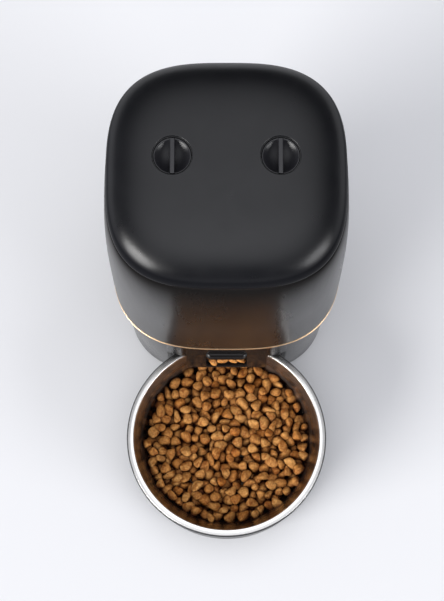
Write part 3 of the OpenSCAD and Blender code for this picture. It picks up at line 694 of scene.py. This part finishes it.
def make_base():
    half, wall, low, top = 90, 2.6, 3, 129
    corners = [(half - wall, low), (half, low), (half, top), (half - wall, top)]
    loop = rounded(corners, [0.2, 1.0, 0.5, 0.2], 4, closed=True)
    ob = square_skin("base_wall", loop)
    alcove = prism("alcove", circle(91.2, 200, (0, BOWL_Y * 1000)), -2, 62)
    front = TOWER_Y * 1000
    side, near, far = 34.7, front - 99, front - 82.4
    window = prism("window", [(-side, near), (side, near), (side, far), (-side, far)], 64.6, 126.2)
    back = front + 95
    button = prism("button", circle(7.3, 64, (-25, 88)), back - 12, back, axis="y")
    lens = prism("lens", circle(2.0, 48, (25, 88)), back - 12, back, axis="y")
    inlet = prism("inlet", circle(5.6, 64, (0, 62)), back - 12, back, axis="y")
    cut(ob, [alcove, window, button, lens, inlet])
    bevel(ob, 0.35, 2, 50)
    shade(ob, 30)
    return finish_piece(ob, BASE, "base", "base_gloss", "base_shell")


# ---------------------------------------------------------------- lid and knobs

LID_LOW, LID_RISE = 303.2, 26.8
KNOB_X, KNOB_Y = 40.7, 7.4


def lid_height(x, y):
    """Height of the lid's outside over a point given from the tower's centre."""
    k = (abs(x / FLARE) ** 3 + abs(y) ** 3) ** (1 / 3) / LID_HALF
    return LID_LOW + LID_RISE * math.sqrt(max(0, 1 - k ** 5))


def dome(half, low, rise, count, start=0.0):
    """The lid's profile from its rim to its middle, as evenly spaced points."""
    a = np.linspace(start, math.pi / 2, 4001)
    w, z = half * np.cos(a) ** 0.4, low + rise * np.sin(a)
    w[-1] = 0
    length = np.concatenate([[0], np.cumsum(np.hypot(np.diff(w), np.diff(z)))])
    at = np.linspace(0, length[-1], count)
    return list(zip(np.interp(at, length, w), np.interp(at, length, z)))


def make_lid():
    lip_r, wall, hole_r = 0.7, 2.6, 15.5
    outer = dome(LID_HALF, LID_LOW, LID_RISE, 120, math.asin(lip_r / LID_RISE))
    lip = [(LID_HALF - lip_r + lip_r * math.sin(a), LID_LOW + lip_r - lip_r * math.cos(a))
           for a in np.radians([0, 30, 60])]
    inner = dome(LID_HALF - wall, LID_LOW, LID_RISE - wall, 36)
    ob = square_skin("lid_dome", inner[::-1] + lip + outer, closed=False, stretch=FLARE)
    plans = [circle(hole_r, 128, (side * KNOB_X, TOWER_Y * 1000 + KNOB_Y)) for side in (-1, 1)]
    cut(ob, [prism("hole", plan, 296, 340) for plan in plans])
    shade(ob, 40)
    return finish_piece(ob, LID, "lid", "lid_satin", "lid_shell")


def make_hole_lip(name, side):
    """Rounded rim of a knob hole, following the lid's surface."""
    steps = 144
    bore, curl, rise = 15.2, 0.62, 0.66
    section = [(bore, -2.6), (bore, -curl)]
    for a in np.radians([18, 36, 54, 72, 90]):
        section.append((bore + curl * (1 - math.cos(a)), -curl + rise * math.sin(a)))
    section += [(16.15, 0.02), (16.2, -0.4), (15.8, -2.6)]
    rings = []
    for r, dz in section:
        ring = []
        for i in range(steps):
            t = 2 * math.pi * i / steps
            x, y = side * KNOB_X + r * math.cos(t), KNOB_Y + r * math.sin(t)
            ring.append((0.001 * x, 0.001 * y, 0.001 * (lid_height(x, y) + dz)))
        rings.append(ring)
    ob = skin(name, rings, TOWER, closed=True)
    shade(ob, 50)
    return finish_piece(ob, LID, "lid", "lid_satin")


def make_knob(name, side, body, node):
    """Disc with a round dish in its top, a straight grip bar across it and a spindle below."""
    centre = (side * KNOB_X * 0.001, TOWER_Y + KNOB_Y * 0.001, 0)
    dish_r, dish_z = 18.3, 340
    dish = [(dish_r * math.sin(a), dish_z - dish_r * math.cos(a))
            for a in np.radians(np.linspace(0, 46.2, 26))]
    rim = [(13.62, 327.42), (13.9, 327.5), (14.1, 327.45), (14.32, 327.22), (14.4, 326.9)]
    side_wall = [(14.4, 317.2), (14.1, 316.6), (13.6, 316.5), (4, 316.5), (4, 289.4), (3.6, 289), (0, 289)]
    profile = [(0, dish[0][1])] + dish[1:] + rim + side_wall
    disc = lathe("disc", profile, 144, centre, closed=False)
    reach, wide, top = 14.32, 1.96, 328.7
    bar_rings = []
    levels = [(0.0, 320.0), (0.0, top - 0.75), (0.1, top - 0.42), (0.28, top - 0.16),
              (0.55, top - 0.02), (0.9, top)]
    ends = 20
    for inset, z in levels:
        w, r = wide - inset, reach - inset
        span = math.asin(w / r)
        arc = [(r * math.sin(t), r * math.cos(t)) for t in np.linspace(span, -span, ends)]
        left = [(-w, y) for y in np.linspace(r * math.cos(span), -r * math.cos(span), 24)[1:-1]]
        low = [(-x, -y) for x, y in arc]
        right = [(w, -y) for x, y in left]
        bar_rings.append([(0.001 * x, 0.001 * y, 0.001 * z) for x, y in arc + left + low + right])
    bar = skin("bar", bar_rings, centre)
    cap_ends(bar, len(bar_rings[0]))
    shade(bar, 50)
    shade(disc, 42)
    ob = join(name, [disc, bar])
    return finish_piece(ob, KNOB, body, "lid_satin", node)


# ---------------------------------------------------------------- food outlet

def make_panel():
    """Front panel, bulging from the base wall to its lower edge, with the outlet through it."""
    reach, low, top, thick, back = 99, 65.5, 126, 2.4, 84
    half, proud, nose_r, side = 90, 0.8, 1.5, 34.5
    face = []
    for t in np.linspace(0, 1, 25):
        out = (reach - half - proud) * math.sin(math.pi / 2 * t)
        face.append((-(half + proud) - out, top - (top - low - nose_r) * t))
    nose = [(-reach + nose_r - nose_r * math.cos(a), low + nose_r - nose_r * math.sin(a))
            for a in np.radians([15, 30, 45, 60, 75, 90])]
    block = prism("outlet_panel", face + nose + [(-back, low), (-back, top)], -side, side, TOWER, axis="x")
    hollow = [(y + thick, min(z, top - thick)) for y, z in face if z > low + thick]
    hollow += [(-reach + thick, low + thick), (-back + 1, low + thick), (-back + 1, top - thick)]
    cavity = prism("cavity", hollow, -side + thick, side - thick, TOWER, axis="x")
    mouth = prism("mouth", rounded_rect(35, 31, 3, 8, (0, 84.5)), -reach - 4, -reach + 16, TOWER, axis="y")
    cut(block, [cavity, mouth])
    bevel(block, 0.6, 3, 35)
    shade(block, 30)
    return finish_piece(block, PANEL, "base", "base_gloss", "chute_panel")


def make_hood():
    """Rounded visor over the outlet."""
    width, depth, corner_r, middle_y = 36, 11.4, 5.2, -94.2
    base, top, brow, crown = 100.4, 107.0, 1.6, 4.6
    levels = [(2.4, base), (1.2, base + 0.02), (0.35, base + 0.35), (0.0, base + 1.1)]
    for a in np.radians(np.linspace(0, 84, 13)):
        levels.append((crown * (1 - math.cos(a)), base + brow + (top - base - brow) * math.sin(a)))
    rings = []
    for inset, z in levels:
        corner = max(0.3, corner_r - inset)
        plan = rounded_rect(width - 2 * inset, depth - 2 * inset, corner, 10, (0, middle_y))
        rings.append([(0.001 * x, 0.001 * y, 0.001 * z) for x, y in plan])
    ob = skin("outlet_visor", rings, TOWER)
    cap_ends(ob, len(rings[0]))
    shade(ob, 50)
    return finish_piece(ob, PANEL, "base", "base_gloss", "outlet_hood")


# ---------------------------------------------------------------- tank

def make_tank():
    low, mouth_z, funnel, wall = 147.6, 301.5, 196, 2
    neck, half = 56, 86.2
    levels = [low, low + 1, low + 4]
    levels += list(np.linspace(low + 4, funnel, 22)[1:])
    levels += list(np.linspace(funnel, mouth_z, 20)[1:])

    def at(z, inset):
        ease = min(1, max(0, (z - low - 4) / (funnel - low - 4)))
        size = neck + 2 + (half - 1.6 - neck - 2) * ease + 1.6 * (z - low) / (mouth_z - low) - inset
        plan = even_square(2 + ease, 192)
        return [(0.001 * size * x, 0.001 * size * y, 0.001 * z) for x, y in plan]

    rings = [at(z, 0) for z in levels] + [at(z, wall) for z in levels[::-1]]
    ob = skin("grain_tank", rings, TOWER, closed=True)
    shade(ob, 45)
    return finish_piece(ob, TANK, "hopper", "tank_clear", "food_tank", "tank_funnel")


# ---------------------------------------------------------------- bowl, tray and kibble

BOWL_FLOOR, BOWL_FLAT, BOWL_TURN = 16, 57, 13
WALL_FOOT_R, WALL_FOOT_Z = 70, 29
WALL_SPREAD, WALL_RISE = 10.4, 23.6


def make_bowl():
    """Spun bowl: flat floor, round turn, sloped wall and a rolled rim."""
    floor, base_r, turn = BOWL_FLOOR, BOWL_FLAT, BOWL_TURN
    arc = [(base_r + turn * math.sin(a), floor + turn - turn * math.cos(a))
           for a in np.radians(np.linspace(0, 90, 19))]
    wall_up = [(70 + (80.4 - 70) * t, 29 + (52.6 - 29) * t) for t in np.linspace(0, 1, 12)[1:]]
    rim_line = [(80.4, 52.6), (81.2, 55.0), (83.6, 54.95), (86.1, 54.2), (86.2, 53.3)]
    rim = rounded(rim_line, [0, 1.0, 4, 0.35, 0], 8)[1:]
    under = [(85.6, 53.3), (85.2, 53.6), (84.2, 53.8), (82.3, 54.0), (81.6, 53.6), (81.3, 52.4)]
    outside = [(71 + (81.3 - 71) * t, 29 + (52.4 - 29) * t) for t in np.linspace(1, 0, 12)[1:]]
    below = [(base_r + (turn + 1) * math.sin(a), floor + turn - (turn + 1) * math.cos(a))
             for a in np.radians(np.linspace(90, 0, 19))][1:]
    inner = [(0, floor)] + [(r, floor) for r in (8, 20, 32, 44, 52)] + arc + wall_up + rim
    outer = under + outside + below + [(r, floor - 1) for r in (52, 32, 8)] + [(0, floor - 1)]
    ob = lathe("feeding_bowl", inner + outer, 256, BOWL, closed=False)
    shade(ob, 50)
    return finish_piece(ob, STEEL, "bowl", "steel", "steel_bowl")


def make_tray():
    r, low, top, t = 87.1, 1.5, 53, 2.2
    outline = [(r - 6, low), (r - 4, low + 2), (r - 0.6, top - 6), (r, top - 4), (r, top), (r - t, top),
               (r - t - 0.6, top - 6), (r - t - 4.4, low + t + 2), (r - t - 6.2, low + t)]
    curve = rounded(outline, [1.0, 3, 6, 4, 0.7, 0.6, 4, 2, 2], 5)
    under = [(x, low) for x in (0, 30, 60)]
    inside = [(x, low + t) for x in (60, 30, 0)]
    profile = under + curve + inside
    shell = lathe("shell", profile, 256, BOWL, closed=False)
    shade(shell, 45)
    plate = prism("plate", rounded_rect(44, 22, 1.2, 5, (0, r + 4.5)), 6, 9.4, BOWL)
    bevel(plate, 0.4, 3, 40)
    shade(plate, 30)
    ob = join("bowl_holder", [shell, plate])
    return finish_piece(ob, TRAY, "tray", "inner_black", "bowl_tray")


def nugget_shapes(rng, level):
    """Lopsided nugget forms about 1 unit in radius: random many-sided lumps with their edges worn round."""
    shapes = []
    for _ in range(14):
        bm = bmesh.new()
        bmesh.ops.create_icosphere(bm, subdivisions=level, radius=1)
        verts = np.array([v.co for v in bm.verts])
        faces = np.array([[v.index for v in f.verts] for f in bm.faces])
        bm.free()
        sides = np.array([[rng.gauss(0, 1) for _ in range(3)] for _ in range(rng.choice((9, 12, 15)))])
        sides = np.vstack([sides, -sides.sum(0)])
        sides /= np.linalg.norm(sides, axis=1)[:, None]
        reach = np.array([rng.uniform(0.78, 1.0) for _ in sides])
        wear = rng.choice((4, 5))
        pull = np.maximum(verts @ sides.T / reach, 0) ** wear
        size = (pull.sum(1) + 0.55 ** wear) ** (-1 / wear)
        size /= size.mean()
        stretch = [rng.uniform(0.97, 1.17), rng.uniform(0.88, 1.03), rng.uniform(0.80, 0.96)]
        shape = verts * size[:, None] * stretch
        shapes.append((shape / np.linalg.norm(shape, axis=1).mean(), faces))
    return shapes


def bowl_radius(z):
    """Inside radius of the bowl at a height, in mm."""
    if z < WALL_FOOT_Z:
        return BOWL_FLAT + math.sqrt(max(0, BOWL_TURN ** 2 - (WALL_FOOT_Z - z) ** 2))
    return WALL_FOOT_R + (z - WALL_FOOT_Z) * WALL_SPREAD / WALL_RISE


def settle(rng, count, level):
    """Drops round grains one at a time into the bowl and lets each roll down to where it rests."""
    placed = np.zeros((0, 4))

    def rest(x, y, r):
        low = BOWL_FLOOR + r
        if len(placed):
            d2 = (placed[:, 0] - x) ** 2 + (placed[:, 1] - y) ** 2
            reach = (placed[:, 3] + r) * 0.93
            hit = d2 < reach ** 2
            if hit.any():
                low = max(low, float((placed[hit, 2] + np.sqrt(reach[hit] ** 2 - d2[hit])).max()))
        d = math.hypot(x, y)
        for _ in range(6):
            if d + r > bowl_radius(low) + 0.3:
                low += 1.2
            else:
                return low
        return low if d + r <= bowl_radius(low) + 0.3 else 1e9

    for _ in range(count):
        r = min(5.4, max(3.4, rng.gauss(4.3, 0.42)))
        best = None
        for _ in range(14):
            a, s = rng.uniform(0, 2 * math.pi), 72 * math.sqrt(rng.random())
            x, y = s * math.cos(a), s * math.sin(a)
            z = rest(x, y, r)
            if best is None or z < best[2]:
                best = (x, y, z)
        x, y, z = best
        step = 2.4
        for _ in range(14):
            moves = []
            for _ in range(6):
                a = rng.uniform(0, 2 * math.pi)
                nx, ny = x + step * math.cos(a), y + step * math.sin(a)
                moves.append((rest(nx, ny, r), nx, ny))
            low = min(moves)
            if low[0] < z - 0.02:
                z, x, y = low
            else:
                step *= 0.7
        if z + r < level + 0.03 * (70 - math.hypot(x, y)):
            placed = np.vstack([placed, [x, y, z, r]])
    return placed


def random_turn(rng, lean):
    spin = Matrix.Rotation(rng.uniform(0, 2 * math.pi), 3, "Z")
    angle = rng.gauss(0, lean)
    tilt = Matrix.Rotation(angle, 3, Vector((rng.gauss(0, 1), rng.gauss(0, 1), 0.01)).normalized())
    roll = Matrix.Rotation(rng.choice((0, math.pi)) + rng.gauss(0, 0.3), 3, "X")
    return np.array(tilt @ spin @ roll)


def nuggets(name, grains, shapes, rng, at, body, lean=0.55):
    """One mesh of nuggets, each with its own tone kept as a colour attribute."""
    verts, faces, tones = [], [], []
    start = 0
    for x, y, z, r in grains:
        v, f = shapes[rng.randrange(len(shapes))]
        size = r * rng.uniform(1.0, 1.09)
        moved = (v * size) @ random_turn(rng, lean).T + np.array([x, y, z])
        verts.append(moved * 0.001)
        faces.append(f + start)
        start += len(v)
        warm = min(1, max(0, rng.gauss(0.5, 0.24)))
        tones.append(np.tile([warm, rng.random(), 0, 1], (len(v), 1)))
    verts, faces, tones = np.vstack(verts), np.vstack(faces), np.vstack(tones)
    ob = mesh_object(name, verts.tolist(), faces.tolist(), at)
    layer = ob.data.color_attributes.new("tone", "FLOAT_COLOR", "POINT")
    layer.data.foreach_set("color", tones.astype(np.float32).ravel())
    ob.data.polygons.foreach_set("use_smooth", [True] * len(ob.data.polygons))
    return finish_piece(ob, KIBBLE, body, None)


def make_kibble():
    rng = random.Random(20417)
    grains = settle(rng, 1050, 40.5)
    fine, coarse = nugget_shapes(rng, 3), nugget_shapes(rng, 1)
    covered = []
    for g in grains:
        above = grains[(grains[:, 2] > g[2] + 4.5) & (np.hypot(grains[:, 0] - g[0], grains[:, 1] - g[1]) < 6)]
        covered.append(len(above) >= 2 or g[2] < 30)
    covered = np.array(covered)
    nuggets("kibble_under", grains[covered], coarse, rng, BOWL, "bowl")
    top = grains[~covered]
    half = len(top) // 2
    nuggets("kibble_top_a", top[:half], fine, rng, BOWL, "bowl")
    nuggets("kibble_top_b", top[half:], fine, rng, BOWL, "bowl")
    return len(grains), len(top)


def make_outlet_kibble():
    """A few grains left on the chute's slope behind the outlet."""
    rng = random.Random(611)
    slope = math.atan2(40, 70)
    grains = []
    for y, count in [(-93.4, 4), (-86.2, 3), (-79.0, 3)]:
        for i in range(count):
            x = (i - (count - 1) / 2) * 8.4 + rng.uniform(-0.5, 0.5)
            r = rng.uniform(3.8, 4.3)
            floor = 72 + (y + 94) * 40 / 70
            grains.append((x, y, floor + r * 0.92 / math.cos(slope), r))
    return nuggets("kibble_outlet", np.array(grains), nugget_shapes(rng, 3), rng, TOWER, "base", 0.4)


# ---------------------------------------------------------------- carried-over parts and stage

def dress_carried():
    for name, mat in CARRIED.items():
        if name in NODES:
            mesh = NODES[name].data
            mesh.materials.clear()
            mesh.materials.append(mat)


SKY_START, SKY_POWER = 0.5, 2
SKY_GAIN, SKY_LEAST = 2.0, 0.07


def make_stage():
    """Wide pale floor, a sky that brightens upwards from SKY_START, and two soft lights."""
    e = 15
    floor = mesh_object("floor", [(-e, -e, 0), (e, -e, 0), (e, e, 0), (-e, e, 0)], [(0, 1, 2, 3)],
                        (0, 0, -0.0004))
    floor.data.materials.append(FLOOR)
    world = bpy.data.worlds.new("studio")
    world.use_nodes = True
    tree = world.node_tree
    way = tree.nodes.new("ShaderNodeTexCoord").outputs["Generated"]
    height = tree.nodes.new("ShaderNodeSeparateXYZ")
    tree.links.new(way, height.inputs[0])
    ramp = tree.nodes.new("ShaderNodeMapRange")
    tree.links.new(height.outputs["Z"], ramp.inputs["Value"])
    ramp.inputs["From Min"].default_value = SKY_START
    curve = tree.nodes.new("ShaderNodeMath")
    curve.operation = "POWER"
    tree.links.new(ramp.outputs["Result"], curve.inputs[0])
    curve.inputs[1].default_value = SKY_POWER
    level = tree.nodes.new("ShaderNodeMath")
    level.operation = "MULTIPLY_ADD"
    tree.links.new(curve.outputs[0], level.inputs[0])
    level.inputs[1].default_value = SKY_GAIN
    level.inputs[2].default_value = SKY_LEAST
    tree.links.new(level.outputs[0], tree.nodes["Background"].inputs["Strength"])
    tree.nodes["Background"].inputs["Color"].default_value = (0.95, 0.96, 1.0, 1)
    bpy.context.scene.world = world
    bpy.context.scene.view_settings.view_transform = "Standard"
    broad_light("key", (-1.12, -0.80, 0.28), 5.4, 40, (1.0, 0.99, 0.975))
    broad_light("fill", (1.12, -0.74, 0.23), 2.4, 36, (0.98, 0.985, 1.0))


make_stage()
dress_carried()
make_hopper()
make_trim()
make_base()
make_lid()
make_hole_lip("left_hole_lip", -1)
make_hole_lip("right_hole_lip", 1)
make_knob("left_twist_knob", -1, "left_lock", "left_knob")
make_knob("right_twist_knob", 1, "right_lock", "right_knob")
make_panel()
make_hood()
make_tank()
make_bowl()
make_tray()
print("kibble grains, visible:", *make_kibble())
make_outlet_kibble()
